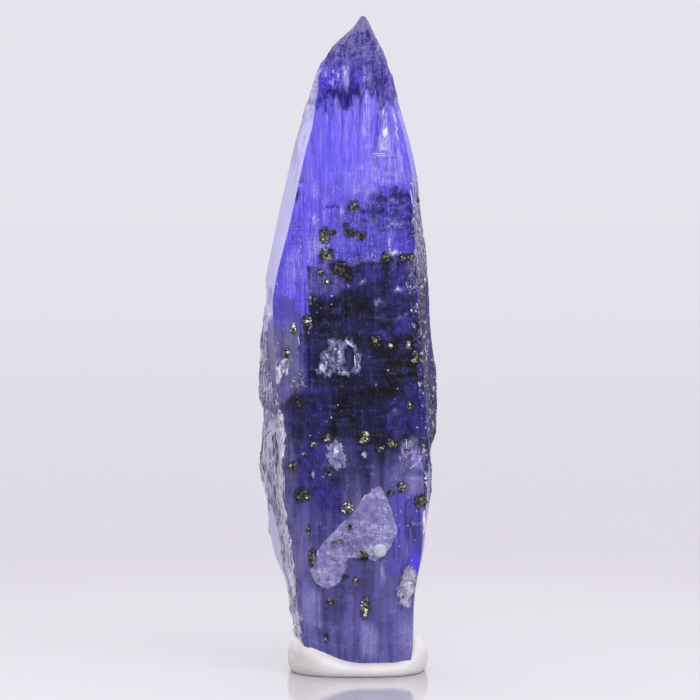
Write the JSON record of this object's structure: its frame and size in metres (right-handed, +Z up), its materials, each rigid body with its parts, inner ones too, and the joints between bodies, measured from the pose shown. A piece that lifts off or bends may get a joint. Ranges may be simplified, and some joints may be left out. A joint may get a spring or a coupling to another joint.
{
  "type": "rough tanzanite crystal specimen",
  "caption": "Tall flattened violet-blue crystal with a beaked tip, pyrite grains and pale crusts, standing in a pressed pad of white putty.",
  "frame": {"origin": "on the flat underside of the putty pad, below the middle of the crystal", "axes": "+Z up along the crystal's length, -Y out of its broad front face, +X to the right as seen from the front"},
  "size_m": [0.0112, 0.0081, 0.0411],
  "materials": {
    "tanzanite": "gloss",
    "mounting_putty": "satin"
  },
  "bodies": {
    "root": {"tanzanite_crystal": "tanzanite", "putty_pad": "mounting_putty"}
  },
  "joints": []
}
